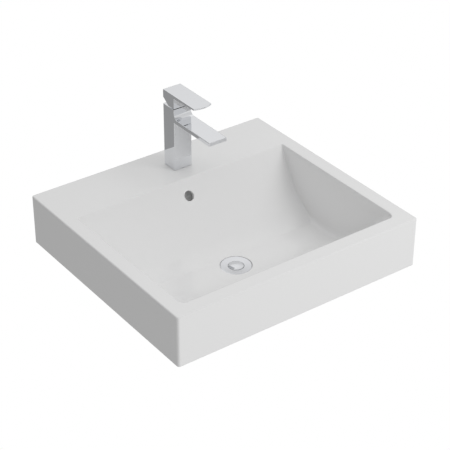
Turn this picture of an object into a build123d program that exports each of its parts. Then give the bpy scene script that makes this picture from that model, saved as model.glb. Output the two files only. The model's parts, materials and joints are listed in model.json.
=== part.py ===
from build123d import *
from math import cos, radians, sin, sqrt, tan
import os

# Countertop basin with its single-lever tap and its push-down waste.
# X runs to the right, Y to the wall behind, Z up. The origin is on the counter, midway along and across
# the rectangle that the basin covers. Lengths are in millimetres, angles in degrees.

# Slab of the basin
slab_width = 550.0
slab_depth = 500.0
slab_height = 105.0
slab_corner_radius = 5.0
slab_edge_radius = 3.0
apron_wall = 12.0
deck_thickness = 14.0

# Opening of the bowl in the deck
side_rim = 30.0
front_rim = 30.5
back_deck = 121.0
opening_edge_radius = 2.5

# Hollow of the bowl
bowl_floor_z = -4.5
bowl_wall = 10.0
end_wall_lean = 13.0
front_wall_slope = 41.0
middle_front_foot_y = -80.0
end_front_foot_y = -40.0
middle_back_angle = 64.0
middle_knee_y = 62.0
middle_knee_z = 26.0
middle_foot_angle = 3.0
end_back_angle = 47.0
end_knee_y = 50.0
end_knee_z = 26.0
end_foot_angle = 26.0
foot_y = -12.0
crease_radius = 4.0
front_fold_radius = 14.0

# Waste hole, its boss and the overflow
waste_y = -46.0
waste_boss_radius = 36.0
waste_boss_depth = 42.0
waste_hole_radius = 23.0
flange_sink = 2.2
flange_play = 0.3
overflow_y = 111.5
overflow_z = 74.5
overflow_radius = 10.5
overflow_lean = 35.0
overflow_depth = 15.0
duct_path = ((131, 84), (122, 68.5), (70, 13), (26, -13), (-20, -23))
duct_width = 34.0
duct_gap = 13.0
duct_wall = 7.0

# Tap hole. It lies to the right of the bowl's middle, as the object shows it.
tap_x = 24.5
tap_y = 184.0
tap_hole_radius = 17.5

# Tap body and spout
body_width = 41.0
body_depth = 37.0
body_height = 136.0
body_edge_radius = 1.0
spout_reach = 118.0
spout_thickness = 7.6
spout_top = 115.5
spout_blend_radius = 9.0
base_gap = 0.6
inlet_x = 6.6
inlet_y = 2.5
inlet_bore_radius = 3.0
inlet_bore_top = 82.0
gallery_x = 12.0
gallery_y = -15.0
gallery_radius = 1.8
gallery_drop = 5.5
inlet_thread_radius = 4.45
inlet_thread_length = 11.0
stud_y = -10.0
stud_radius = 4.0
stud_grip = 14.0
stud_length_below_deck = 34.0

# Stream former under the end of the spout
spout_skin = 1.6
spout_channel_width = 26.0
spout_channel_height = 1.8
former_width = 30.0
former_depth = 16.0
former_inset = 6.0
former_frame_wall = 2.0
former_blade = 0.8
former_blades = 9
former_seal_height = 0.8
former_play = 0.1

# Cartridge, given from the pivot of the lever downwards and upwards
pivot_below_top = 15.0
cartridge_radius = 14.5
cartridge_clearance = 0.2
housing_wall = 2.7
housing_lip = 2.2
housing_lip_bore = 9.2
base_height = 4.0
port_radius = 1.5
port_x = 3.75
port_y = -4.8
outlet_radius = 2.0
outlet_y = 1.2
seal_height = 1.4
seal_wall = 1.2
seal_play = 0.3
seal_web = 1.2
disc_height = 3.5
moving_disc_radius = 8.1
moving_disc_height = 3.0
mixing_recess_depth = 1.2
mixing_recess_radius = 4.4
carrier_height = 5.5
carrier_floor = 1.0
rotor_carrier_gap = 0.5
carrier_flat = 6.6
rotor_height = 12.5
rotor_slot_half_length = 7.6
rotor_slot_half_width = 4.4
rotor_leg_gap = 0.3
pin_radius = 1.5
pin_clearance = 0.05
tail_reach = 9.0
tail_radius = 2.0
tail_width = 6.0
tail_neck = 2.4
tail_play = 0.3
tail_room_below = 0.6
nut_height = 4.0
nut_bore_radius = 10.0
shroud_height = 2.1
shroud_bore_radius = 11.2
running_gap = 0.3

# Lever
spindle_width = 8.0
spindle_socket_play = 0.1
spindle_top_above_pivot = 36.0
spindle_below_pivot = 4.5
hub_gap = 1.7
lever_height = 29.5
hub_back = 18.0
hub_back_step = 13.0
hub_chamfer_start = 0.5
plate_reach = 91.0
plate_bow = 5.0
plate_thickness_at_hub = 6.5
plate_thickness_at_tip = 3.2
lever_edge_radius = 0.8
grub_above_pivot = 32.0
grub_radius = 2.5
grub_length = 8.0
hex_socket_radius = 1.4
hex_socket_depth = 3.0
cap_radius = 2.9
cap_length = 2.0

# Fixing of the tap under the deck
gasket_height = 1.5
gasket_radius = 18.0
gasket_bore_radius = 12.8
horseshoe_radius = 26.0
horseshoe_slot_half_width = 12.5
horseshoe_slot_start = -4.0
horseshoe_slot_corner = 5.0
rubber_washer_height = 3.0
steel_washer_height = 2.0
washer_play = 0.3
fixing_nut_across_flats = 13.0
fixing_nut_height = 10.0

# Waste
flange_radius = 31.4
flange_thickness = 2.4
flange_edge_drop = 0.9
flange_dish_depth = 1.2
flange_lip = 1.6
tail_relief_radius = 20.2
tail_relief_height = 4.0
tail_thread_radius = 20.95
tail_thread_length = 25.0
tail_inner_radius = 18.2
seat_radius = 15.9
seat_length = 8.0
chamber_radius = 27.0
chamber_height = 22.0
chamber_drop = 9.0
waste_length = 92.0
overflow_slot_width = 9.0
overflow_slot_height = 16.0
overflow_slot_drop = 11.0
web_drop = 40.0
web_height = 6.0
web_width = 7.0
web_hub_radius = 8.0
top_seal_height = 1.4
top_seal_radius = 30.0
cone_seal_height = 7.0
cone_seal_top_radius = 27.0
cone_seal_bottom_radius = 31.0
slip_washer_height = 2.0
back_nut_height = 10.0
back_nut_across_flats = 62.0
thread_gap = 0.15
top_seal_bore = 23.3

# Plug and its push mechanism
plug_radius = 15.25
plug_skirt = 6.0
plug_edge_drop = 0.8
plug_dome_rise = 2.6
plug_seal_radius = 15.6
plug_seal_height = 2.0
plug_groove_radius = 13.6
plug_groove_rise = 1.2
plug_stem_radius = 3.0
plug_stem_length = 19.5
plug_stem_grip = 3.5
click_radius = 5.5
click_length = 30.0
click_stud_radius = 3.9
click_stud_length = 8.0
click_bore_radius = 3.06
spring_chamber_radius = 4.7
spring_chamber_length = 22.0
spring_chamber_floor = 2.0
spring_radius = 3.9
spring_wire_radius = 0.35
spring_turns = 7
spring_play = 0.1

os.makedirs("parts", exist_ok=True)

# Places that several pieces share
deck_z = slab_height
opening_back_y = slab_depth / 2 - back_deck
opening_front_y = front_rim - slab_depth / 2
opening_half_width = slab_width / 2 - side_rim
body_top_z = deck_z + body_height
pivot_z = body_top_z - pivot_below_top
flange_top_z = bowl_floor_z + flange_thickness - flange_sink
flange_bottom_z = flange_top_z - flange_thickness
boss_bottom_z = bowl_floor_z - waste_boss_depth
body_front_y = tap_y - body_depth / 2
spout_top_z = deck_z + spout_top
spout_bottom_z = spout_top_z - spout_thickness
spout_tip_y = body_front_y - spout_reach
channel_top_z = spout_top_z - spout_skin
channel_bottom_z = channel_top_z - spout_channel_height
former_y = spout_tip_y + former_inset + former_depth / 2
former_top_z = channel_bottom_z - former_seal_height
tail_z = pivot_z - tail_reach
carrier_bottom_z = tail_z - tail_radius - tail_room_below - carrier_floor
carrier_top_z = carrier_bottom_z + carrier_height
moving_disc_z = carrier_bottom_z - moving_disc_height
fixed_disc_z = moving_disc_z - disc_height
base_z = fixed_disc_z - base_height
cavity_floor_z = base_z - seal_height
rotor_bottom_z = carrier_top_z + rotor_carrier_gap
rotor_top_z = rotor_bottom_z + rotor_height
housing_top_z = rotor_top_z + running_gap + housing_lip
housing_bore = cartridge_radius - housing_wall
rotor_radius = housing_bore - running_gap
nut_top_z = housing_top_z + nut_height
cavity_radius = cartridge_radius + cartridge_clearance
hub_bottom_z = body_top_z + hub_gap
lever_top_z = hub_bottom_z + lever_height
spindle_top_z = pivot_z + spindle_top_above_pivot
deck_bottom_z = deck_z - deck_thickness
rubber_bottom_z = deck_bottom_z - rubber_washer_height
steel_bottom_z = rubber_bottom_z - steel_washer_height
cone_bottom_z = boss_bottom_z - cone_seal_height
slip_bottom_z = cone_bottom_z - slip_washer_height
nut_bottom_z = slip_bottom_z - back_nut_height
waste_bottom_z = flange_top_z - waste_length
thread_top_z = waste_bottom_z + tail_thread_length
web_top_z = flange_top_z - web_drop
plug_edge_z = flange_top_z - plug_edge_drop
plug_bottom_z = plug_edge_z - plug_skirt


def keep(piece, name):
    piece.part.label = name
    export_step(piece.part, "parts/" + name + ".step")


# Bowl

bowl_form_rise = 20.0
quarter_place = 0.55
quarter_share = 0.30
shell_top_drop = 1.0
shell_height = 200.0


def bowl_section(x, share, grow):
    """Outline of the hollow across the bowl at x, from the middle (share 0) to the ends (share 1)."""
    front_foot_y = middle_front_foot_y + share * (end_front_foot_y - middle_front_foot_y)
    knee_y = middle_knee_y + share * (end_knee_y - middle_knee_y)
    knee_z = middle_knee_z + share * (end_knee_z - middle_knee_z) - grow
    floor_z = bowl_floor_z - grow
    back_angle = radians(middle_back_angle + share * (end_back_angle - middle_back_angle))
    foot_angle = radians(middle_foot_angle + share * (end_foot_angle - middle_foot_angle))
    front_angle = radians(front_wall_slope)
    back_y = opening_back_y + grow
    front_y = opening_front_y - grow
    with BuildSketch(Plane.YZ.offset(x)) as outline:
        with BuildLine():
            Spline(
                (back_y, deck_z),
                (knee_y, knee_z),
                (foot_y, floor_z),
                tangents=((-cos(back_angle), -sin(back_angle)), (-cos(foot_angle), -sin(foot_angle))),
            )
            Line((foot_y, floor_z), (front_foot_y, floor_z))
            Spline(
                (front_foot_y, floor_z),
                (front_y, deck_z),
                tangents=((-1, 0), (-cos(front_angle), sin(front_angle))),
            )
            Polyline(
                (front_y, deck_z),
                (front_y, deck_z + bowl_form_rise),
                (back_y, deck_z + bowl_form_rise),
                (back_y, deck_z),
            )
        make_face()
    return outline.sketch


def bowl_form(grow):
    """Hollow of the bowl, or its outside when it is grown by the wall."""
    end = opening_half_width + grow
    quarter = quarter_place * end
    stations = ((-end, 1.0), (-quarter, quarter_share), (0, 0.0), (quarter, quarter_share), (end, 1.0))
    with BuildPart() as form:
        for x, share in stations:
            add(bowl_section(x, share, grow))
        loft()
    lean = tan(radians(end_wall_lean))
    low_z = bowl_floor_z - grow - 1
    low = end - lean * (deck_z - low_z)
    high = end
    with BuildPart() as ends:
        with BuildSketch(Plane.XZ.offset(-slab_depth / 2)):
            with BuildLine():
                Polyline(
                    (-low, low_z),
                    (low, low_z),
                    (high, deck_z),
                    (high, deck_z + bowl_form_rise),
                    (-high, deck_z + bowl_form_rise),
                    (-high, deck_z),
                    close=True,
                )
            make_face()
        extrude(amount=slab_depth)
    return form.part & ends.part


def end_edges(form, low_y, high_y):
    """Folds at both ends of the hollow, below the deck, whose middles lie between two depths."""
    below = form.edges().filter_by_position(Axis.Z, bowl_floor_z - 1, deck_z - 1)
    return below.filter_by(
        lambda edge: abs(edge.center().X) > opening_half_width / 2 and low_y < edge.center().Y < high_y
    )


sharp_void = bowl_form(0)
folded_void = sharp_void.fillet(front_fold_radius, end_edges(sharp_void, opening_front_y, 0))
bowl_void = folded_void.fillet(crease_radius, end_edges(folded_void, end_knee_y, opening_back_y))
bowl_outside = bowl_form(bowl_wall)

shell_middle_z = deck_z - shell_top_drop - shell_height / 2
bowl_shell = bowl_outside & Pos(0, 0, shell_middle_z) * Box(2 * slab_width, 2 * slab_depth, shell_height)


def duct_profile(width):
    """Band along the path of the duct, drawn flat."""
    with BuildSketch() as profile:
        with BuildLine():
            Polyline(*duct_path)
        trace(line_width=width)
    return profile.sketch


overflow_plane = Plane(
    origin=(0, overflow_y, overflow_z),
    x_dir=(1, 0, 0),
    z_dir=(0, cos(radians(overflow_lean)), -sin(radians(overflow_lean))),
)
seat_bottom_z = flange_bottom_z - top_seal_height

with BuildPart() as basin:
    with BuildSketch():
        RectangleRounded(slab_width, slab_depth, slab_corner_radius)
    extrude(amount=slab_height)
    fillet(basin.faces().sort_by(Axis.Z)[-1].edges(), slab_edge_radius)
    with BuildSketch():
        Rectangle(slab_width - 2 * apron_wall, slab_depth - 2 * apron_wall)
    extrude(amount=deck_bottom_z, mode=Mode.SUBTRACT)
    add(bowl_shell)
    with BuildSketch(Plane.XY.offset(boss_bottom_z)):
        with Locations((0, waste_y)):
            Circle(waste_boss_radius)
    extrude(amount=waste_boss_depth)
    with BuildSketch(Plane.YZ):
        add(duct_profile(duct_gap + 2 * duct_wall))
    extrude(amount=duct_width / 2 + duct_wall, both=True)
    add(bowl_void, mode=Mode.SUBTRACT)
    opening_edges = basin.edges().filter_by(
        lambda edge: abs(edge.center().Z - deck_z) < 0.01
        and abs(edge.center().X) < opening_half_width + 1
        and opening_front_y - 1 < edge.center().Y < opening_back_y + 1
    )
    fillet(opening_edges, opening_edge_radius)
    # Way of the overflow: hole in the scoop, flat duct under it, chamber round the waste
    with BuildSketch(Plane.YZ):
        add(duct_profile(duct_gap))
    extrude(amount=duct_width / 2, both=True, mode=Mode.SUBTRACT)
    with BuildSketch(overflow_plane):
        Circle(overflow_radius)
    extrude(amount=overflow_depth, mode=Mode.SUBTRACT)
    with BuildSketch(overflow_plane):
        Circle(overflow_radius)
    extrude(amount=-overflow_depth, mode=Mode.SUBTRACT)
    with BuildSketch(Plane.XY.offset(bowl_floor_z - chamber_drop)):
        with Locations((0, waste_y)):
            Circle(chamber_radius)
    extrude(amount=-chamber_height, mode=Mode.SUBTRACT)
    # Waste hole and the seat of its flange
    with BuildSketch(Plane.XY.offset(boss_bottom_z)):
        with Locations((0, waste_y)):
            Circle(waste_hole_radius)
    extrude(amount=waste_boss_depth + 1, mode=Mode.SUBTRACT)
    with BuildSketch(Plane.XY.offset(seat_bottom_z)):
        with Locations((0, waste_y)):
            Circle(flange_radius + flange_play)
    extrude(amount=bowl_floor_z - seat_bottom_z + 1, mode=Mode.SUBTRACT)
    with BuildSketch(Plane.XY.offset(deck_bottom_z)):
        with Locations((tap_x, tap_y)):
            Circle(tap_hole_radius)
    extrude(amount=deck_thickness, mode=Mode.SUBTRACT)
keep(basin, "basin")


# Tap body

body_bottom_z = deck_z + base_gap
gallery_z = cavity_floor_z - gallery_drop
inlet_top_z = deck_z + inlet_bore_top

with BuildPart() as tap_body:
    with BuildSketch(Plane.XY.offset(body_bottom_z)):
        with Locations((tap_x, tap_y)):
            Rectangle(body_width, body_depth)
    extrude(amount=body_top_z - body_bottom_z)
    with BuildSketch(Plane.XY.offset(spout_bottom_z)):
        with Locations((tap_x, body_front_y - spout_reach / 2)):
            Rectangle(body_width, spout_reach)
    extrude(amount=spout_thickness)
    blend_edges = tap_body.edges().filter_by(Axis.X).filter_by_position(
        Axis.Z, spout_top_z - 0.01, spout_top_z + 0.01
    ).filter_by_position(Axis.Y, body_front_y - 0.01, body_front_y + 0.01)
    fillet(blend_edges, spout_blend_radius)
    upright_edges = tap_body.edges().filter_by(Axis.Z)
    fillet(upright_edges, body_edge_radius)
    # Seat of the cartridge, open at the top
    with BuildSketch(Plane.XY.offset(cavity_floor_z)):
        with Locations((tap_x, tap_y)):
            Circle(cavity_radius)
    extrude(amount=body_top_z - cavity_floor_z, mode=Mode.SUBTRACT)
    # Recess of the gasket, threaded inlets and the stud's hole in the foot
    with BuildSketch(Plane.XY.offset(body_bottom_z)):
        with Locations((tap_x, tap_y)):
            Circle(gasket_radius)
    extrude(amount=gasket_height - base_gap, mode=Mode.SUBTRACT)
    with BuildSketch(Plane.XY.offset(body_bottom_z)):
        with Locations((tap_x - inlet_x, tap_y + inlet_y), (tap_x + inlet_x, tap_y + inlet_y)):
            Circle(inlet_thread_radius)
    extrude(amount=gasket_height - base_gap + inlet_thread_length, mode=Mode.SUBTRACT)
    with BuildSketch(Plane.XY.offset(body_bottom_z)):
        with Locations((tap_x - inlet_x, tap_y + inlet_y), (tap_x + inlet_x, tap_y + inlet_y)):
            Circle(inlet_bore_radius)
    extrude(amount=inlet_top_z - body_bottom_z, mode=Mode.SUBTRACT)
    with BuildSketch(Plane.XY.offset(body_bottom_z)):
        with Locations((tap_x, tap_y + stud_y)):
            Circle(stud_radius + thread_gap)
    extrude(amount=stud_grip + deck_z - body_bottom_z, mode=Mode.SUBTRACT)
    # Slanting ways from the inlets to the ports in the floor of the seat
    for side in (-1, 1):
        start = (tap_x + side * inlet_x, tap_y + inlet_y, inlet_top_z - 3)
        end = (tap_x + side * port_x, tap_y + port_y, cavity_floor_z + 1)
        way = tuple(b - a for a, b in zip(start, end))
        with BuildSketch(Plane(origin=start, z_dir=way)):
            Circle(port_radius)
        extrude(amount=sqrt(sum(step * step for step in way)), mode=Mode.SUBTRACT)
    # Way of the mixed water: down, forward, sideways, up the corners and along the spout
    with BuildSketch(Plane.XY.offset(gallery_z)):
        with Locations((tap_x, tap_y + outlet_y)):
            Circle(outlet_radius)
    extrude(amount=gallery_drop, mode=Mode.SUBTRACT)
    with BuildSketch(Plane.XZ.offset(-(tap_y + gallery_y))):
        with Locations((tap_x, gallery_z)):
            Circle(gallery_radius)
    extrude(amount=gallery_y - outlet_y, mode=Mode.SUBTRACT)
    with BuildSketch(Plane.YZ.offset(tap_x)):
        with Locations((tap_y + gallery_y, gallery_z)):
            Circle(gallery_radius)
    extrude(amount=gallery_x, both=True, mode=Mode.SUBTRACT)
    with BuildSketch(Plane.XY.offset(gallery_z)):
        with Locations((tap_x - gallery_x, tap_y + gallery_y), (tap_x + gallery_x, tap_y + gallery_y)):
            Circle(gallery_radius)
    extrude(amount=channel_top_z - gallery_z, mode=Mode.SUBTRACT)
    pocket_depth = body_front_y - (tap_y + gallery_y)
    with BuildSketch(Plane.XY.offset(channel_bottom_z)):
        pocket_y = tap_y + gallery_y + pocket_depth / 2
        with Locations((tap_x - gallery_x, pocket_y), (tap_x + gallery_x, pocket_y)):
            Rectangle(2 * gallery_radius, abs(pocket_depth))
    extrude(amount=spout_channel_height, mode=Mode.SUBTRACT)
    channel_front_y = spout_tip_y + former_inset + former_frame_wall
    with BuildSketch(Plane.XY.offset(channel_bottom_z)):
        with Locations((tap_x, (channel_front_y + body_front_y) / 2)):
            Rectangle(spout_channel_width, body_front_y - channel_front_y)
    extrude(amount=spout_channel_height, mode=Mode.SUBTRACT)
    with BuildSketch(Plane.XY.offset(spout_bottom_z)):
        with Locations((tap_x, former_y)):
            Rectangle(former_width, former_depth)
    extrude(amount=channel_bottom_z - spout_bottom_z, mode=Mode.SUBTRACT)
keep(tap_body, "tap_body")

with BuildPart() as stream_former:
    with BuildSketch(Plane.XY.offset(spout_bottom_z)):
        with Locations((tap_x, former_y)):
            Rectangle(former_width - 2 * former_play, former_depth - 2 * former_play)
            Rectangle(
                former_width - 2 * former_frame_wall,
                former_depth - 2 * former_frame_wall,
                mode=Mode.SUBTRACT,
            )
        blade_pitch = (former_width - 2 * former_frame_wall) / (former_blades + 1)
        with Locations((tap_x, former_y)):
            with GridLocations(blade_pitch, 1, former_blades, 1):
                Rectangle(former_blade, former_depth - 2 * former_frame_wall + 1)
    extrude(amount=former_top_z - spout_bottom_z)
keep(stream_former, "stream_former")

with BuildPart() as former_seal:
    with BuildSketch(Plane.XY.offset(former_top_z)):
        with Locations((tap_x, former_y)):
            Rectangle(former_width - 2 * former_play, former_depth - 2 * former_play)
            Rectangle(
                former_width - 2 * former_frame_wall,
                former_depth - 2 * former_frame_wall,
                mode=Mode.SUBTRACT,
            )
    extrude(amount=former_seal_height)
keep(former_seal, "former_seal")


# Cartridge

ports = (
    (tap_x - port_x, tap_y + port_y, port_radius),
    (tap_x + port_x, tap_y + port_y, port_radius),
    (tap_x, tap_y + outlet_y, outlet_radius),
)

with BuildPart() as cartridge_seal:
    with BuildSketch(Plane.XY.offset(cavity_floor_z)):
        for x, y, radius in ports:
            with Locations((x, y)):
                Circle(radius + seal_play + seal_wall)
        with BuildLine():
            Polyline(*[(x, y) for x, y, radius in ports], close=True)
        trace(line_width=seal_web)
        for x, y, radius in ports:
            with Locations((x, y)):
                Circle(radius + seal_play, mode=Mode.SUBTRACT)
    extrude(amount=seal_height)
keep(cartridge_seal, "cartridge_seal")

with BuildPart() as cartridge_base:
    with BuildSketch(Plane.XY.offset(base_z)):
        with Locations((tap_x, tap_y)):
            Circle(cartridge_radius)
        for x, y, radius in ports:
            with Locations((x, y)):
                Circle(radius, mode=Mode.SUBTRACT)
    extrude(amount=base_height)
keep(cartridge_base, "cartridge_base")

with BuildPart() as fixed_disc:
    with BuildSketch(Plane.XY.offset(fixed_disc_z)):
        with Locations((tap_x, tap_y)):
            Circle(housing_bore - cartridge_clearance)
        for x, y, radius in ports:
            with Locations((x, y)):
                Circle(radius, mode=Mode.SUBTRACT)
    extrude(amount=disc_height)
keep(fixed_disc, "fixed_disc")

with BuildPart() as cartridge_housing:
    with BuildSketch(Plane.XY.offset(fixed_disc_z)):
        with Locations((tap_x, tap_y)):
            Circle(cartridge_radius)
            Circle(housing_bore, mode=Mode.SUBTRACT)
    extrude(amount=housing_top_z - fixed_disc_z)
    with BuildSketch(Plane.XY.offset(housing_top_z - housing_lip)):
        with Locations((tap_x, tap_y)):
            Circle(cartridge_radius)
            Circle(housing_lip_bore, mode=Mode.SUBTRACT)
    extrude(amount=housing_lip)
keep(cartridge_housing, "cartridge_housing")

with BuildPart() as moving_disc:
    with BuildSketch(Plane.XY.offset(moving_disc_z)):
        with Locations((tap_x, tap_y)):
            Circle(moving_disc_radius)
    extrude(amount=moving_disc_height)
    with BuildSketch(Plane.XY.offset(moving_disc_z)):
        with Locations((tap_x, tap_y)):
            Circle(mixing_recess_radius)
    extrude(amount=mixing_recess_depth, mode=Mode.SUBTRACT)
keep(moving_disc, "moving_disc")

with BuildPart() as disc_carrier:
    with BuildSketch(Plane.XY.offset(carrier_bottom_z)):
        with Locations((tap_x, tap_y)):
            Circle(moving_disc_radius)
            Rectangle(2 * carrier_flat, 3 * moving_disc_radius, mode=Mode.INTERSECT)
    extrude(amount=carrier_height)
    with BuildSketch(Plane.XY.offset(carrier_bottom_z + carrier_floor)):
        with Locations((tap_x, tap_y)):
            Rectangle(tail_width + 2 * tail_play, 2 * (tail_radius + tail_play))
    extrude(amount=carrier_height - carrier_floor, mode=Mode.SUBTRACT)
keep(disc_carrier, "disc_carrier")

with BuildPart() as cartridge_rotor:
    with BuildSketch(Plane.XY.offset(rotor_bottom_z)):
        with Locations((tap_x, tap_y)):
            Circle(rotor_radius)
            Rectangle(2 * rotor_slot_half_width, 2 * rotor_slot_half_length, mode=Mode.SUBTRACT)
    extrude(amount=rotor_height)
    # Two legs that turn the carrier and let it slide between them
    with BuildSketch(Plane.XY.offset(carrier_bottom_z + rotor_leg_gap)):
        with Locations((tap_x, tap_y)):
            Circle(rotor_radius)
            Rectangle(2 * (carrier_flat + rotor_leg_gap), 3 * rotor_radius, mode=Mode.SUBTRACT)
    extrude(amount=rotor_bottom_z - carrier_bottom_z - rotor_leg_gap)
    with BuildSketch(Plane.YZ.offset(tap_x)):
        with Locations((tap_y, pivot_z)):
            Circle(pin_radius)
    extrude(amount=rotor_radius, both=True, mode=Mode.SUBTRACT)
keep(cartridge_rotor, "cartridge_rotor")

with BuildPart() as pivot_pin:
    with BuildSketch(Plane.YZ.offset(tap_x)):
        with Locations((tap_y, pivot_z)):
            Circle(pin_radius)
    extrude(amount=rotor_radius - running_gap, both=True)
keep(pivot_pin, "pivot_pin")

with BuildPart() as clamp_nut:
    with BuildSketch(Plane.XY.offset(housing_top_z)):
        with Locations((tap_x, tap_y)):
            Circle(cavity_radius - thread_gap)
            Circle(nut_bore_radius, mode=Mode.SUBTRACT)
    extrude(amount=nut_height)
keep(clamp_nut, "clamp_nut")

with BuildPart() as shroud_ring:
    with BuildSketch(Plane.XY.offset(nut_top_z)):
        with Locations((tap_x, tap_y)):
            Circle(cavity_radius - thread_gap)
            Circle(shroud_bore_radius, mode=Mode.SUBTRACT)
    extrude(amount=shroud_height)
keep(shroud_ring, "shroud_ring")


# Lever

with BuildPart() as lever_spindle:
    with BuildSketch(Plane.XY.offset(pivot_z - spindle_below_pivot)):
        with Locations((tap_x, tap_y)):
            Rectangle(spindle_width, spindle_width)
    extrude(amount=spindle_below_pivot + spindle_top_above_pivot)
    with BuildSketch(Plane.XY.offset(tail_z)):
        with Locations((tap_x, tap_y)):
            Rectangle(tail_width, tail_neck)
    extrude(amount=tail_reach)
    with BuildSketch(Plane.YZ.offset(tap_x)):
        with Locations((tap_y, tail_z)):
            Circle(tail_radius)
    extrude(amount=tail_width / 2, both=True)
    with BuildSketch(Plane.YZ.offset(tap_x)):
        with Locations((tap_y, pivot_z)):
            Circle(pin_radius + pin_clearance)
    extrude(amount=spindle_width, both=True, mode=Mode.SUBTRACT)
keep(lever_spindle, "lever_spindle")

tip_side_y = -plate_reach + plate_bow
hub_front_y = -body_depth / 2
grub_z = pivot_z + grub_above_pivot

with BuildPart() as lever_handle:
    with BuildSketch(Plane.YZ.offset(tap_x)):
        with BuildLine():
            Polyline(
                (tap_y + hub_back, lever_top_z),
                (tap_y + hub_back, hub_bottom_z + hub_back_step),
                (tap_y + hub_chamfer_start, hub_bottom_z),
                (tap_y + hub_front_y, hub_bottom_z),
                (tap_y + hub_front_y, lever_top_z - plate_thickness_at_hub),
                (tap_y - plate_reach, lever_top_z - plate_thickness_at_tip),
                (tap_y - plate_reach, lever_top_z),
                close=True,
            )
        make_face()
    extrude(amount=body_width / 2, both=True)
    # Outline from above: straight sides and a bowed tip
    with BuildSketch(Plane.XY.offset(hub_bottom_z)):
        with BuildLine():
            ThreePointArc(
                (tap_x - body_width / 2, tap_y + tip_side_y),
                (tap_x, tap_y - plate_reach),
                (tap_x + body_width / 2, tap_y + tip_side_y),
            )
            Polyline(
                (tap_x + body_width / 2, tap_y + tip_side_y),
                (tap_x + body_width / 2, tap_y + hub_back),
                (tap_x - body_width / 2, tap_y + hub_back),
                (tap_x - body_width / 2, tap_y + tip_side_y),
            )
        make_face()
    extrude(amount=lever_height, mode=Mode.INTERSECT)
    fillet(lever_handle.faces().sort_by(Axis.Z)[-1].edges(), lever_edge_radius)
    with BuildSketch(Plane.XY.offset(hub_bottom_z)):
        with Locations((tap_x, tap_y)):
            Rectangle(spindle_width + 2 * spindle_socket_play, spindle_width + 2 * spindle_socket_play)
    extrude(amount=spindle_top_z + spindle_socket_play - hub_bottom_z, mode=Mode.SUBTRACT)
    with BuildSketch(Plane.XZ.offset(-(tap_y + hub_back))):
        with Locations((tap_x, grub_z)):
            Circle(grub_radius + thread_gap)
    extrude(amount=hub_back, mode=Mode.SUBTRACT)
    with BuildSketch(Plane.XZ.offset(-(tap_y + hub_back))):
        with Locations((tap_x, grub_z)):
            Circle(cap_radius)
    extrude(amount=cap_length, mode=Mode.SUBTRACT)
keep(lever_handle, "lever_handle")

with BuildPart() as grub_screw:
    with BuildSketch(Plane.XZ.offset(-(tap_y + spindle_width / 2))):
        with Locations((tap_x, grub_z)):
            Circle(grub_radius)
    extrude(amount=-grub_length)
    with BuildSketch(Plane.XZ.offset(-(tap_y + spindle_width / 2 + grub_length))):
        with Locations((tap_x, grub_z)):
            RegularPolygon(hex_socket_radius, 6)
    extrude(amount=hex_socket_depth, mode=Mode.SUBTRACT)
keep(grub_screw, "grub_screw")

with BuildPart() as screw_cap:
    with BuildSketch(Plane.XZ.offset(-(tap_y + hub_back))):
        with Locations((tap_x, grub_z)):
            Circle(cap_radius)
    extrude(amount=cap_length)
keep(screw_cap, "screw_cap")


# Fixing of the tap under the deck

with BuildPart() as base_gasket:
    with BuildSketch(Plane.XY.offset(deck_z)):
        with Locations((tap_x, tap_y)):
            Circle(gasket_radius)
            Circle(gasket_bore_radius, mode=Mode.SUBTRACT)
        with Locations((tap_x, tap_y + stud_y)):
            Circle(stud_radius + washer_play, mode=Mode.SUBTRACT)
    extrude(amount=gasket_height)
keep(base_gasket, "base_gasket")


def horseshoe(height, bottom_z):
    """Washer round the stud with a slot for the hoses, open to the back."""
    with BuildPart() as washer:
        with BuildSketch(Plane.XY.offset(bottom_z)):
            with Locations((tap_x, tap_y)):
                Circle(horseshoe_radius)
            slot_length = 2 * horseshoe_radius
            with Locations((tap_x, tap_y + horseshoe_slot_start + slot_length / 2)):
                RectangleRounded(
                    2 * horseshoe_slot_half_width, slot_length, horseshoe_slot_corner, mode=Mode.SUBTRACT
                )
            with Locations((tap_x, tap_y + stud_y)):
                Circle(stud_radius + washer_play, mode=Mode.SUBTRACT)
        extrude(amount=height)
    return washer


rubber_washer = horseshoe(rubber_washer_height, rubber_bottom_z)
keep(rubber_washer, "rubber_washer")
steel_washer = horseshoe(steel_washer_height, steel_bottom_z)
keep(steel_washer, "steel_washer")

with BuildPart() as fixing_stud:
    with BuildSketch(Plane.XY.offset(deck_z - stud_length_below_deck)):
        with Locations((tap_x, tap_y + stud_y)):
            Circle(stud_radius)
    extrude(amount=stud_length_below_deck + stud_grip)
keep(fixing_stud, "fixing_stud")

with BuildPart() as fixing_nut:
    with BuildSketch(Plane.XY.offset(steel_bottom_z)):
        with Locations((tap_x, tap_y + stud_y)):
            RegularPolygon(fixing_nut_across_flats / 2, 6, major_radius=False)
            Circle(stud_radius + thread_gap, mode=Mode.SUBTRACT)
    extrude(amount=-fixing_nut_height)
keep(fixing_nut, "fixing_nut")


# Waste

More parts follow.
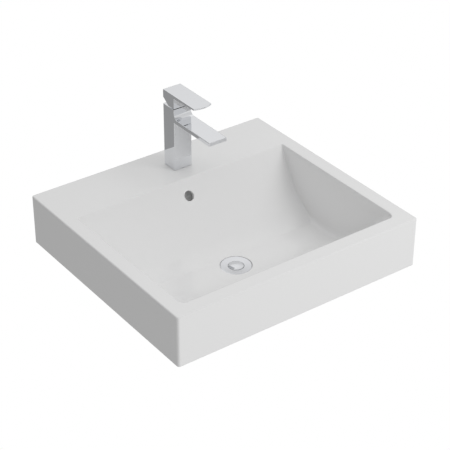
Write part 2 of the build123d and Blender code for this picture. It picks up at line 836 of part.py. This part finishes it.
with BuildPart() as waste_body:
    with BuildSketch(Plane.XZ.offset(-waste_y)):
        with BuildLine():
            Polyline(
                (seat_radius, flange_top_z - flange_dish_depth),
                (flange_radius - flange_lip, flange_top_z),
                (flange_radius, flange_top_z - flange_edge_drop),
                (flange_radius, flange_bottom_z),
                (tail_thread_radius, flange_bottom_z),
                (tail_thread_radius, thread_top_z + tail_relief_height),
                (tail_relief_radius, thread_top_z + tail_relief_height),
                (tail_relief_radius, thread_top_z),
                (tail_thread_radius, thread_top_z),
                (tail_thread_radius, waste_bottom_z),
                (tail_inner_radius, waste_bottom_z),
                (tail_inner_radius, flange_top_z - seat_length - 1),
                (seat_radius, flange_top_z - seat_length),
                close=True,
            )
        make_face()
    revolve(axis=Axis((0, waste_y, 0), (0, 0, 1)))
    # Cross web that carries the push mechanism
    with BuildSketch(Plane.XY.offset(web_top_z - web_height)):
        with Locations((0, waste_y)):
            Circle(web_hub_radius)
            Rectangle(4 * tail_inner_radius, web_width)
            Rectangle(web_width, 4 * tail_inner_radius)
            Circle((tail_inner_radius + tail_thread_radius) / 2, mode=Mode.INTERSECT)
            Circle(click_stud_radius + thread_gap, mode=Mode.SUBTRACT)
    extrude(amount=web_height)
    # Four slots that let the overflow in
    slot_z = flange_top_z - overflow_slot_drop - overflow_slot_height / 2
    for turn in (-1, 1):
        with BuildSketch(Plane(origin=(0, waste_y, slot_z), x_dir=(1, turn, 0), z_dir=(-turn, 1, 0))):
            SlotOverall(overflow_slot_height, overflow_slot_width, rotation=90)
        extrude(amount=2 * tail_thread_radius, both=True, mode=Mode.SUBTRACT)
keep(waste_body, "waste_body")


def ring(bottom_z, height, outer_radius, inner_radius):
    """Flat ring round the waste."""
    with BuildPart() as piece:
        with BuildSketch(Plane.XY.offset(bottom_z)):
            with Locations((0, waste_y)):
                Circle(outer_radius)
                Circle(inner_radius, mode=Mode.SUBTRACT)
        extrude(amount=height)
    return piece


waste_bore = tail_thread_radius + thread_gap

waste_top_seal = ring(seat_bottom_z, top_seal_height, top_seal_radius, top_seal_bore)
keep(waste_top_seal, "waste_top_seal")

with BuildPart() as waste_cone_seal:
    with BuildSketch(Plane.XZ.offset(-waste_y)):
        with BuildLine():
            Polyline(
                (waste_bore, boss_bottom_z),
                (cone_seal_top_radius, boss_bottom_z),
                (cone_seal_bottom_radius, cone_bottom_z),
                (waste_bore, cone_bottom_z),
                close=True,
            )
        make_face()
    revolve(axis=Axis((0, waste_y, 0), (0, 0, 1)))
keep(waste_cone_seal, "waste_cone_seal")

waste_slip_washer = ring(slip_bottom_z, slip_washer_height, cone_seal_bottom_radius, waste_bore)
keep(waste_slip_washer, "waste_slip_washer")

with BuildPart() as waste_back_nut:
    with BuildSketch(Plane.XY.offset(nut_bottom_z)):
        with Locations((0, waste_y)):
            RegularPolygon(back_nut_across_flats / 2, 6, major_radius=False)
            Circle(waste_bore, mode=Mode.SUBTRACT)
    extrude(amount=back_nut_height)
keep(waste_back_nut, "waste_back_nut")


# Plug and its push mechanism

plug_groove_bottom_z = plug_bottom_z + plug_groove_rise

with BuildPart() as waste_plug:
    with BuildSketch(Plane.XZ.offset(-waste_y)):
        with BuildLine():
            ThreePointArc(
                (-plug_radius, plug_edge_z),
                (0, plug_edge_z + plug_dome_rise),
                (plug_radius, plug_edge_z),
            )
            Polyline(
                (plug_radius, plug_edge_z),
                (plug_radius, plug_bottom_z),
                (-plug_radius, plug_bottom_z),
                (-plug_radius, plug_edge_z),
            )
        make_face()
        split(bisect_by=Plane.YZ)
    revolve(axis=Axis((0, waste_y, 0), (0, 0, 1)))
    with BuildSketch(Plane.XY.offset(plug_groove_bottom_z)):
        with Locations((0, waste_y)):
            Circle(plug_radius + 1)
            Circle(plug_groove_radius, mode=Mode.SUBTRACT)
    extrude(amount=plug_seal_height, mode=Mode.SUBTRACT)
    with BuildSketch(Plane.XY.offset(plug_bottom_z)):
        with Locations((0, waste_y)):
            Circle(plug_stem_radius + thread_gap)
    extrude(amount=plug_stem_grip, mode=Mode.SUBTRACT)
keep(waste_plug, "waste_plug")

plug_seal = ring(plug_groove_bottom_z, plug_seal_height, plug_seal_radius, plug_groove_radius)
keep(plug_seal, "plug_seal")

with BuildPart() as plug_stem:
    with BuildSketch(Plane.XY.offset(plug_bottom_z - plug_stem_length)):
        with Locations((0, waste_y)):
            Circle(plug_stem_radius)
    extrude(amount=plug_stem_length + plug_stem_grip)
keep(plug_stem, "plug_stem")

chamber_bottom_z = web_top_z + spring_chamber_floor

with BuildPart() as click_body:
    with BuildSketch(Plane.XY.offset(web_top_z)):
        with Locations((0, waste_y)):
            Circle(click_radius)
    extrude(amount=click_length)
    with BuildSketch(Plane.XY.offset(web_top_z)):
        with Locations((0, waste_y)):
            Circle(click_stud_radius)
    extrude(amount=-click_stud_length)
    with BuildSketch(Plane.XY.offset(chamber_bottom_z)):
        with Locations((0, waste_y)):
            Circle(spring_chamber_radius)
    extrude(amount=spring_chamber_length, mode=Mode.SUBTRACT)
    with BuildSketch(Plane.XY.offset(chamber_bottom_z)):
        with Locations((0, waste_y)):
            Circle(click_bore_radius)
    extrude(amount=click_length, mode=Mode.SUBTRACT)
keep(click_body, "click_body")

stem_end_z = plug_bottom_z - plug_stem_length
spring_rise = stem_end_z - spring_play - chamber_bottom_z - 2 * spring_wire_radius
with BuildPart() as click_spring:
    with BuildLine():
        Helix(
            pitch=spring_rise / spring_turns,
            height=spring_rise,
            radius=spring_radius,
            center=(0, waste_y, chamber_bottom_z + spring_wire_radius),
        )
    with BuildSketch(
        Plane(origin=(spring_radius, waste_y, chamber_bottom_z + spring_wire_radius), z_dir=(0, 1, 0))
    ):
        Circle(spring_wire_radius)
    sweep(is_frenet=True)
keep(click_spring, "click_spring")
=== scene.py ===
"""Countertop basin with its single-lever tap and push-down waste, dressed for the render.

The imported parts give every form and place. This script gives each of them its finish and lights the whole
thing as a product shot on white.
"""

from __future__ import annotations

import json
import logging
import math
from dataclasses import dataclass, field
from enum import Enum
from typing import Union

import bpy
from mathutils import Matrix, Vector

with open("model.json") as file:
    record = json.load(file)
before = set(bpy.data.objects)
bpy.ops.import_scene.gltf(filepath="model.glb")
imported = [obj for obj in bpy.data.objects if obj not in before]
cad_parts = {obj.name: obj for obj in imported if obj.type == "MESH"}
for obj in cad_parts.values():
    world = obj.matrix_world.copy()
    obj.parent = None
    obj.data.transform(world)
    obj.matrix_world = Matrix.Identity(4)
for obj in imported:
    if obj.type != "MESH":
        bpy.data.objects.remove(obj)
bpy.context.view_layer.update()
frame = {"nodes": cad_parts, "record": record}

LOG = logging.getLogger("basin")
Number = Union[float, int]
Colour = tuple[float, float, float]
Point = tuple[float, float, float]
Inputs = dict[Union[str, int], object]
EDGE_SAMPLES = 6


class Op(Enum):
    """Operations of the shader's Math node that the finishes use."""

    ADD = "ADD"
    SUBTRACT = "SUBTRACT"
    MULTIPLY = "MULTIPLY"
    DIVIDE = "DIVIDE"
    POWER = "POWER"
    MAXIMUM = "MAXIMUM"
    ABSOLUTE = "ABSOLUTE"


class Value:
    """A shader socket that takes part in Python arithmetic."""

    def __init__(self, graph: "Graph", socket: bpy.types.NodeSocket) -> None:
        """Wrap a socket.

        Args:
            graph: The graph that holds the socket's node.
            socket: The output socket to wrap.
        """
        self.graph = graph
        self.socket = socket

    def combine(self, op: Op, first: "Term", second: "Term" = 0.0, clamp: bool = False) -> "Value":
        """Join two terms by one Math node.

        Args:
            op: Operation of the node.
            first: First term.
            second: Second term.
            clamp: Whether the result is held between 0 and 1.

        Returns:
            The node's result.
        """
        node = self.graph.add("ShaderNodeMath", {0: first, 1: second})
        node.operation = op.value
        node.use_clamp = clamp
        return Value(self.graph, node.outputs[0])

    def __add__(self, other: "Term") -> "Value":
        """Sum."""
        return self.combine(Op.ADD, self, other)

    def __radd__(self, other: "Term") -> "Value":
        """Sum with the number first."""
        return self.combine(Op.ADD, other, self)

    def __sub__(self, other: "Term") -> "Value":
        """Difference."""
        return self.combine(Op.SUBTRACT, self, other)

    def __rsub__(self, other: "Term") -> "Value":
        """Difference with the number first."""
        return self.combine(Op.SUBTRACT, other, self)

    def __mul__(self, other: "Term") -> "Value":
        """Product."""
        return self.combine(Op.MULTIPLY, self, other)

    def __rmul__(self, other: "Term") -> "Value":
        """Product with the number first."""
        return self.combine(Op.MULTIPLY, other, self)

    def __truediv__(self, other: "Term") -> "Value":
        """Quotient."""
        return self.combine(Op.DIVIDE, self, other)

    def __pow__(self, other: "Term") -> "Value":
        """Power."""
        return self.combine(Op.POWER, self, other)

    def clamp(self) -> "Value":
        """Return the value held between 0 and 1."""
        return self.combine(Op.ADD, self, 0.0, clamp=True)

    def at_least(self, low: "Term") -> "Value":
        """Return the larger of the value and a limit."""
        return self.combine(Op.MAXIMUM, self, low)

    def size(self) -> "Value":
        """Return the value without its sign."""
        return self.combine(Op.ABSOLUTE, self)


Term = Union[Value, Number]


class Graph:
    """Node graph of a material or of the world, filled from Python."""

    def __init__(self, tree: bpy.types.NodeTree) -> None:
        """Empty a tree and take it over.

        Args:
            tree: The node tree to fill.
        """
        self.tree = tree
        tree.nodes.clear()

    def add(self, kind: str, inputs: Inputs | None = None, **settings: object) -> bpy.types.Node:
        """Add one node, set it and link its inputs.

        Args:
            kind: Blender's name of the node type.
            inputs: Socket name or number to a wrapped socket, a number or a vector.
            **settings: Attributes of the node.

        Returns:
            The new node.
        """
        node = self.tree.nodes.new(kind)
        for name, setting in settings.items():
            setattr(node, name, setting)
        for key, term in (inputs or {}).items():
            socket = node.inputs[key]
            if isinstance(term, Value):
                self.tree.links.new(term.socket, socket)
            elif isinstance(term, (tuple, list)) and len(term) == 3 and socket.type == "RGBA":
                socket.default_value = (*term, 1.0)
            else:
                socket.default_value = term
        return node

    def out(
        self, kind: str, output: Union[str, int], inputs: Inputs | None = None, **settings: object
    ) -> Value:
        """Add one node and return one of its outputs, wrapped.

        Args:
            kind: Blender's name of the node type.
            output: Name or number of the output.
            inputs: As for add.
            **settings: As for add.

        Returns:
            The wrapped output.
        """
        return Value(self, self.add(kind, inputs, **settings).outputs[output])

    def noise(self, place: Value, scale: float, detail: float = 2.0, roughness: float = 0.5) -> Value:
        """Noise with values about 0.5.

        Args:
            place: Coordinates in metres.
            scale: Waves per metre.
            detail: Octaves.
            roughness: Share of the finer octaves.

        Returns:
            The noise's factor.
        """
        inputs = {"Vector": place, "Scale": scale, "Detail": detail, "Roughness": roughness}
        return self.out("ShaderNodeTexNoise", "Fac", inputs)

    def bump(self, height: Value, distance: float, normal: Value) -> Value:
        """Bend a normal by a height.

        Args:
            height: Height from 0 to 1.
            distance: Metres that a height of 1 stands for.
            normal: Normal to bend.

        Returns:
            The bent normal.
        """
        inputs = {"Height": height, "Distance": distance, "Normal": normal}
        return self.out("ShaderNodeBump", "Normal", inputs)

    def blend(self, share: Term, first: object, second: object) -> Value:
        """Mix two colours.

        Args:
            share: 0 gives the first colour, 1 the second.
            first: Colour or wrapped socket.
            second: Colour or wrapped socket.

        Returns:
            The mixed colour.
        """
        node = self.tree.nodes.new("ShaderNodeMix")
        node.data_type = "RGBA"
        for index, term in ((0, share), (6, first), (7, second)):
            socket = node.inputs[index]
            if isinstance(term, Value):
                self.tree.links.new(term.socket, socket)
            elif isinstance(term, (tuple, list)):
                socket.default_value = (*term, 1.0)
            else:
                socket.default_value = term
        return Value(self, node.outputs[2])

    def place(self) -> Value:
        """Return the object's own coordinates, in metres."""
        return self.out("ShaderNodeTexCoord", "Object")


@dataclass(frozen=True)
class Finish:
    """Principled finish with fine variation in roughness and relief.

    Attributes:
        name: Name of the material.
        colour: Base colour, linear.
        metallic: 1 for metal.
        roughness: Mean roughness.
        spread: How far the roughness strays from its mean.
        grain: Waves per metre of the variation.
        relief: Height of the relief in metres.
        tint: Colour that the noise mixes in.
        tint_share: Largest share of that colour.
        coat: Weight of the clear coat.
        stretch: Scale of the noise along X, Y and Z.
        fine_octaves: Octaves of the fine noise.
        broad_octaves: Octaves of the broad noise.
        broad_ratio: How much longer the broad noise's waves are.
        coat_roughness: Roughness of the clear coat.
    """

    name: str
    colour: Colour
    metallic: float = 0.0
    roughness: float = 0.4
    spread: float = 0.04
    grain: float = 400.0
    relief: float = 0.00001
    tint: Colour = (0.5, 0.5, 0.5)
    tint_share: float = 0.1
    coat: float = 0.0
    stretch: Point = (1.0, 1.0, 1.0)
    fine_octaves: float = 3.0
    broad_octaves: float = 2.0
    broad_ratio: float = 24.0
    coat_roughness: float = 0.03

    def build(self, edge_round: float) -> bpy.types.Material:
        """Make the finish as a new material.

        Args:
            edge_round: Radius in metres by which the shader softens edges.

        Returns:
            The material.
        """
        material = bpy.data.materials.new(self.name)
        material.use_nodes = True
        graph = Graph(material.node_tree)
        terms = {0: graph.place(), 1: self.stretch}
        place = graph.out("ShaderNodeVectorMath", 0, terms, operation="MULTIPLY")
        fine = graph.noise(place, self.grain, self.fine_octaves)
        broad = graph.noise(place, self.grain / self.broad_ratio, self.broad_octaves)
        colour = graph.blend(broad * self.tint_share, self.colour, self.tint)
        rough = (fine - 0.5) * self.spread + (broad - 0.5) * self.spread + self.roughness
        soft = graph.out("ShaderNodeBevel", 0, {"Radius": edge_round}, samples=EDGE_SAMPLES)
        surface = graph.add("ShaderNodeBsdfPrincipled", {
            "Base Color": colour,
            "Metallic": self.metallic,
            "Roughness": rough.clamp(),
            "Coat Weight": self.coat,
            "Coat Roughness": self.coat_roughness,
            "Normal": graph.bump(fine, self.relief, soft),
        })
        output = graph.add("ShaderNodeOutputMaterial")
        graph.tree.links.new(surface.outputs[0], output.inputs[0])
        return material


GLAZE = Finish(
    "white_glaze", (0.86, 0.86, 0.86), roughness=0.09, spread=0.02, grain=60.0, relief=0.00003,
    tint=(0.80, 0.80, 0.79), tint_share=0.15, coat=0.25,
)
CHROME = Finish(
    "polished_chrome", (0.86, 0.87, 0.89), metallic=1.0, roughness=0.045, spread=0.02, grain=120.0,
    relief=0.000004, tint=(0.7, 0.72, 0.75), tint_share=0.1,
)
WASTE_CHROME = Finish(
    "waste_chrome", (0.74, 0.75, 0.77), metallic=1.0, roughness=0.09, spread=0.03, grain=300.0,
    relief=0.000004, tint=(0.6, 0.61, 0.64), tint_share=0.15,
)
BRASS = Finish(
    "turned_brass", (0.72, 0.53, 0.26), metallic=1.0, roughness=0.28, spread=0.1, grain=900.0,
    tint=(0.5, 0.36, 0.16), tint_share=0.4, stretch=(1.0, 1.0, 6.0),
)
STEEL = Finish(
    "plain_steel", (0.55, 0.56, 0.58), metallic=1.0, roughness=0.32, spread=0.1, grain=1200.0,
    tint=(0.38, 0.39, 0.41), tint_share=0.4, stretch=(1.0, 1.0, 8.0),
)
WHITE_PLASTIC = Finish(
    "white_plastic", (0.74, 0.74, 0.71), roughness=0.45, spread=0.08, grain=700.0, relief=0.00002,
    tint=(0.62, 0.62, 0.58), tint_share=0.3,
)
GREY_PLASTIC = Finish(
    "grey_plastic", (0.26, 0.27, 0.28), roughness=0.4, spread=0.08, grain=700.0, relief=0.00002,
    tint=(0.2, 0.2, 0.21), tint_share=0.3,
)
DISC_CERAMIC = Finish(
    "lapped_ceramic", (0.82, 0.82, 0.78), roughness=0.2, spread=0.05, grain=1500.0, relief=0.000003,
    tint=(0.7, 0.7, 0.66), tint_share=0.3,
)
RUBBER = Finish(
    "black_rubber", (0.025, 0.025, 0.026), roughness=0.62, spread=0.12, grain=900.0, relief=0.00004,
    tint=(0.06, 0.06, 0.06), tint_share=0.5,
)


@dataclass(frozen=True)
class Camera:
    """Camera of the photograph, found by fitting the slab's corners.

    Attributes:
        place: Location in metres.
        azimuth: Degrees, 0 looks along +Y.
        elevation: Degrees above the horizon.
        roll: Degrees about the line of sight.
        lens: Focal length in millimetres.
        sensor: Width of the sensor in millimetres.
        near: Distance in metres from which things are seen.
    """

    place: Point = (-1.389905, -1.917403, 1.560639)
    azimuth: float = -36.072
    elevation: float = 32.299
    roll: float = 0.092
    lens: float = 116.246
    sensor: float = 36.0
    near: float = 0.05

    def build(self) -> None:
        """Put the camera into the scene."""
        turn, rise, roll = (math.radians(angle) for angle in (self.azimuth, self.elevation, self.roll))
        back = Vector((math.sin(turn) * math.cos(rise), -math.cos(turn) * math.cos(rise), math.sin(rise)))
        right = Vector((0, 0, 1)).cross(back).normalized()
        up = back.cross(right)
        right_rolled = math.cos(roll) * right + math.sin(roll) * up
        up_rolled = math.cos(roll) * up - math.sin(roll) * right
        data = bpy.data.cameras.new("camera")
        data.sensor_width = self.sensor
        data.lens = self.lens
        data.clip_start = self.near
        camera = bpy.data.objects.new("camera", data)
        axes = Matrix((right_rolled, up_rolled, back)).transposed().to_4x4()
        camera.matrix_world = Matrix.Translation(self.place) @ axes
        bpy.context.scene.collection.objects.link(camera)
        bpy.context.scene.camera = camera


@dataclass(frozen=True)
class Studio:
    """White studio: what the camera sees is plain white, what lights the object varies with direction.

    Attributes:
        base: Level from every direction.
        left: Added from the left.
        front: Added from the front.
        front_drop: Share by which the front's light falls towards the top.
        top: Added from above.
        right: Added from the right.
        below: Added from below.
        back: Added from behind, above the horizon.
        back_rise: How far below the horizon the light from behind begins.
        back_gain: Factor that brings the light from behind to 1 halfway up.
        focus: Power that narrows the light from the front, top and right.
        gap_width: Height over which the dark gap at the back horizon fades out.
        gap_depth: Share of the light that the gap takes away.
    """

    base: float = 0.10
    left: float = 0.10
    front: float = 0.60
    front_drop: float = 0.8
    top: float = 0.56
    right: float = 0.42
    below: float = 0.35
    back: float = 0.45
    back_rise: float = 0.1
    back_gain: float = 2.0
    focus: float = 1.5
    gap_width: float = 0.3
    gap_depth: float = 1.0

    def build(self) -> None:
        """Fill the world."""
        world = bpy.data.worlds.new("studio")
        bpy.context.scene.world = world
        world.use_nodes = True
        graph = Graph(world.node_tree)
        place = graph.place()
        split = graph.add("ShaderNodeSeparateXYZ", {0: place})
        along_x, along_y, along_z = (Value(graph, split.outputs[index]) for index in range(3))
        front = (0.0 - along_y).at_least(0.0) ** self.focus * (1.0 - along_z * self.front_drop)
        top = along_z.at_least(0.0) ** self.focus
        right = along_x.at_least(0.0) ** self.focus
        left = (0.0 - along_x).at_least(0.0)
        below = (0.0 - along_z).at_least(0.0)
        high = (along_z + self.back_rise).at_least(0.0)
        back = along_y.at_least(0.0) * high * self.back_gain
        level = front * self.front + top * self.top + right * self.right + below * self.below
        level = level + left * self.left + back * self.back + self.base
        gap = (1.0 - along_z.size() / self.gap_width).at_least(0.0)
        level = level * (1.0 - (gap * along_y.at_least(0.0)).clamp() * self.gap_depth)
        lit = graph.out("ShaderNodeCombineColor", 0, {0: level, 1: level, 2: level})
        lit_world = graph.add("ShaderNodeBackground", {"Color": lit, "Strength": 1.0})
        seen_world = graph.add("ShaderNodeBackground", {"Color": (1.0, 1.0, 1.0), "Strength": 1.0})
        path = graph.out("ShaderNodeLightPath", "Is Camera Ray")
        mix = graph.add("ShaderNodeMixShader", {0: path})
        graph.tree.links.new(lit_world.outputs[0], mix.inputs[1])
        graph.tree.links.new(seen_world.outputs[0], mix.inputs[2])
        output = graph.add("ShaderNodeOutputWorld")
        graph.tree.links.new(mix.outputs[0], output.inputs[0])
        bpy.context.scene.view_settings.view_transform = "Standard"


@dataclass(frozen=True)
class SoftBox:
    """Square lamp that looks at a point.

    Attributes:
        name: Name of the lamp.
        place: Location in metres.
        size: Side in metres.
        power: Power in watts.
        target: Point that it looks at.
        mirrored: Whether glossy surfaces show the lamp.
    """

    name: str
    place: Point
    size: float
    power: float
    target: Point = (0.0, 0.0, 0.08)
    mirrored: bool = False

    def build(self) -> None:
        """Put the lamp into the scene."""
        data = bpy.data.lights.new(self.name, "AREA")
        data.shape = "SQUARE"
        data.size = self.size
        data.energy = self.power
        lamp = bpy.data.objects.new(self.name, data)
        way = Vector(self.target) - Vector(self.place)
        lamp.rotation_euler = way.to_track_quat("-Z", "Y").to_euler()
        lamp.location = self.place
        lamp.visible_glossy = self.mirrored
        bpy.context.scene.collection.objects.link(lamp)


KEY = SoftBox("key", (1.23, -1.64, 1.43), 1.0, 13.0)


@dataclass(frozen=True)
class SubAssembly:
    """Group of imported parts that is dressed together.

    Attributes:
        finishes: Finish of each material slot that the group uses.
        nodes: Names of the parts that belong to the group.
        edge_round: Radius in metres by which the shader softens the group's edges.
    """

    finishes: dict[str, Finish]
    nodes: tuple[str, ...]
    edge_round: float = 0.0008

    def build(self) -> dict[str, bpy.types.Material]:
        """Make the group's materials.

        Returns:
            Material of each slot.
        """
        return {slot: finish.build(self.edge_round) for slot, finish in self.finishes.items()}

    def dress(self, slots: dict[str, str]) -> None:
        """Give each part of the group the finish of its slot.

        Args:
            slots: Material slot of each part's name.
        """
        materials = self.build()
        for name in self.nodes:
            mesh = frame["nodes"][name].data
            mesh.materials.clear()
            mesh.materials.append(materials[slots[name]])
            LOG.info("%s: %s as %s", type(self).__name__, name, slots[name])


@dataclass(frozen=True)
class CeramicBasin(SubAssembly):
    """Slab with its bowl, in a thick white glaze that rounds every edge."""

    finishes: dict[str, Finish] = field(default_factory=lambda: {"glazed_ceramic": GLAZE})
    nodes: tuple[str, ...] = ("basin",)
    edge_round: float = 0.0015


@dataclass(frozen=True)
class MixerTap(SubAssembly):
    """Chromed body and lever with the cartridge inside and the fixing below the deck."""

    finishes: dict[str, Finish] = field(default_factory=lambda: {
        "tap_chrome": CHROME, "brass": BRASS, "steel": STEEL, "white_plastic": WHITE_PLASTIC,
        "grey_plastic": GREY_PLASTIC, "disc_ceramic": DISC_CERAMIC, "black_rubber": RUBBER})
    nodes: tuple[str, ...] = (
        "tap_body", "lever_handle", "lever_spindle", "grub_screw", "screw_cap", "shroud_ring", "clamp_nut",
        "cartridge_housing", "cartridge_rotor", "pivot_pin", "disc_carrier", "moving_disc", "fixed_disc",
        "cartridge_base", "cartridge_seal", "stream_former", "former_seal", "base_gasket", "fixing_stud",
        "rubber_washer", "steel_washer", "fixing_nut")


@dataclass(frozen=True)
class PushWaste(SubAssembly):
    """Chromed flange and plug with the seals, nut and click below them."""

    finishes: dict[str, Finish] = field(default_factory=lambda: {
        "waste_chrome": WASTE_CHROME, "brass": BRASS, "steel": STEEL, "white_plastic": WHITE_PLASTIC,
        "black_rubber": RUBBER})
    nodes: tuple[str, ...] = (
        "waste_body", "waste_plug", "plug_seal", "plug_stem", "click_body", "click_spring", "waste_top_seal",
        "waste_cone_seal", "waste_slip_washer", "waste_back_nut")


def main() -> None:
    """Build the scene in order."""
    logging.basicConfig(level=logging.INFO)
    Camera().build()
    Studio().build()
    KEY.build()
    slots = {part["node"]: part["material_slot"] for part in frame["record"]["subparts"]}
    for group in (CeramicBasin(), MixerTap(), PushWaste()):
        group.dress(slots)


if __name__ == "__main__":
    main()
